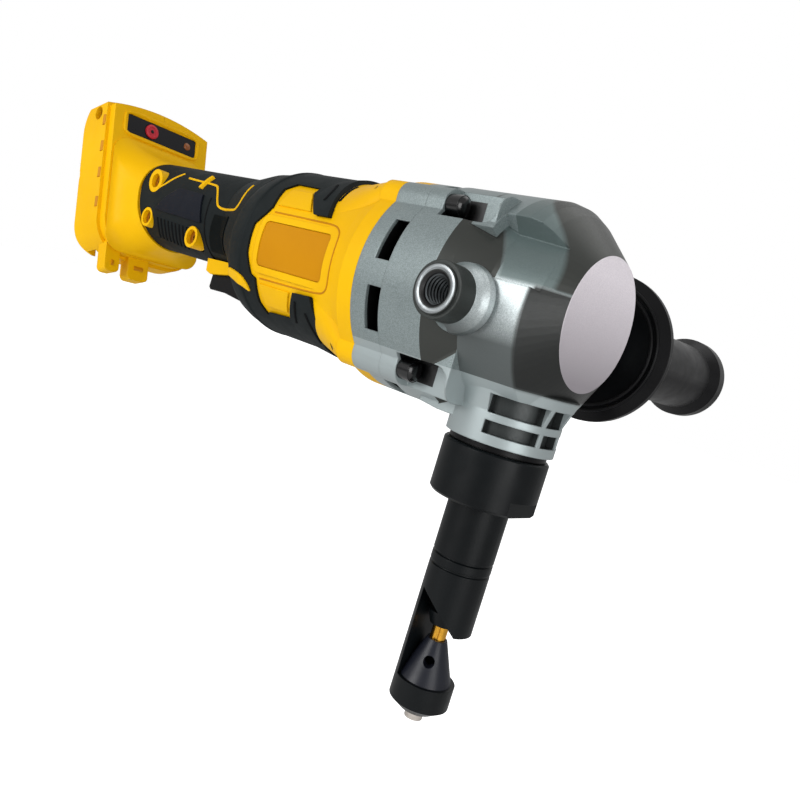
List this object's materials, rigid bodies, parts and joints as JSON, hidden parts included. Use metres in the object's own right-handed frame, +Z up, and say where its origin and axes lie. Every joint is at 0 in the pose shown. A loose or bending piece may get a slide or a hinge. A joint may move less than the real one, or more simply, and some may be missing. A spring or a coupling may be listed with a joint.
{
  "type": "cordless nibbler",
  "caption": "Cordless sheet metal nibbler with grip, battery foot, angle gearbox, side handle and a round punch and die in a turnable die holder.",
  "frame": {"origin": "middle of the plain clamping band of the die holder tube, on the punch axis", "axes": "+X away from the motor, square to the punch axis; +Z up along the punch axis towards the gearbox; +Y towards the side handle"},
  "size_m": [0.3008, 0.2024, 0.193],
  "materials": {
    "yellow_plastic": "fine moulded texture",
    "black_rubber": "matt soft grip",
    "black_plastic": "satin",
    "cast_metal": "metallic grey paint",
    "blackened_steel": "satin black oxide",
    "steel": "ground",
    "gold_coating": "hard gold coloured coating",
    "copper_wire": "enamelled winding",
    "board": "circuit board",
    "red_plastic": "gloss",
    "amber_lens": "clear amber",
    "orange_plate": "smooth printed film"
  },
  "bodies": {
    "housing": {"right_shell": "yellow_plastic", "left_shell": "yellow_plastic", "grip_sleeve_right": "black_rubber", "grip_sleeve_left": "black_rubber", "neck_ring": "black_rubber", "shell_screws": "steel", "control_panel": "black_plastic", "status_light": "amber_lens", "controller_board": "board", "terminal_block": "black_plastic", "battery_terminals": "gold_coating", "trigger_pin": "steel", "trigger_spring": "steel", "trigger_switch": "black_plastic", "motor_leads": "red_plastic", "motor_housing": "yellow_plastic", "housing_pads": "black_rubber", "label_plate": "orange_plate", "stator_core": "steel", "stator_coils": "copper_wire", "rear_motor_bearing": "steel", "front_motor_bearing": "steel", "bearing_plate": "cast_metal", "vent_ring": "cast_metal", "gearbox_housing": "cast_metal", "gearbox_screws": "blackened_steel", "crank_rear_bearing": "steel", "crank_front_bearing": "steel", "ram_sleeve": "steel"},
    "rotor": {"rotor_core": "steel", "rotor_shaft": "steel", "cooling_fan": "black_plastic", "motor_pinion": "steel"},
    "crank": {"crankshaft": "steel", "drive_gear": "steel"},
    "ram_unit": {"ram": "steel", "punch": "gold_coating"},
    "rod": {"connecting_rod": "steel"},
    "nut": {"lock_nut": "blackened_steel"},
    "die_unit": {"die_holder": "blackened_steel", "die": "blackened_steel", "die_screw": "steel"},
    "trigger_unit": {"trigger": "black_plastic"},
    "button": {"panel_button": "red_plastic"},
    "handle": {"side_handle": "black_plastic", "handle_stud": "steel"}
  },
  "joints": [
    {"name": "rotor_spin", "type": "hinge", "parent": "housing", "child": "rotor", "pos_m": [-0.0482, 0, 0.0712], "axis": [1, 0, 0], "continuous": true},
    {"name": "crank_spin", "type": "hinge", "parent": "housing", "child": "crank", "pos_m": [-0.0482, 0, 0.0877], "axis": [1, 0, 0], "continuous": true},
    {"name": "ram_slide", "type": "slide", "parent": "housing", "child": "ram_unit", "axis": [0, 0, 1], "range_m": [-0.0025, 0.0025]},
    {"name": "rod_swing", "type": "hinge", "parent": "ram_unit", "child": "rod", "pos_m": [0, 0, 0.0632], "axis": [1, 0, 0], "range_deg": [-6, 6]},
    {"name": "nut_turn", "type": "hinge", "parent": "housing", "child": "nut", "pos_m": [0, 0, 0.02], "axis": [0, 0, 1], "range_deg": [0, 300]},
    {"name": "die_turn", "type": "hinge", "parent": "housing", "child": "die_unit", "pos_m": [0, 0, 0], "axis": [0, 0, 1], "continuous": true},
    {"name": "trigger_pull", "type": "hinge", "parent": "housing", "child": "trigger_unit", "pos_m": [-0.1402, 0, 0.0552], "axis": [0, 1, 0], "range_deg": [0, 7], "stiffness_Nm_per_rad": 0.6, "springref_deg": -2.86, "deforming": ["trigger_spring"]},
    {"name": "button_press", "type": "slide", "parent": "housing", "child": "button", "axis": [-0.9573, 0, -0.289], "range_m": [0, 0.0008], "stiffness_N_per_m": 400, "springref_m": -0.0004},
    {"name": "handle_unscrew", "type": "hinge", "parent": "housing", "child": "handle", "pos_m": [-0.0054, 0.1, 0.0701], "axis": [0, 1, 0], "continuous": true}
  ],
  "couplings": [
    {"joint": "crank_spin", "follows": "rotor_spin", "ratio": -0.33333}
  ]
}
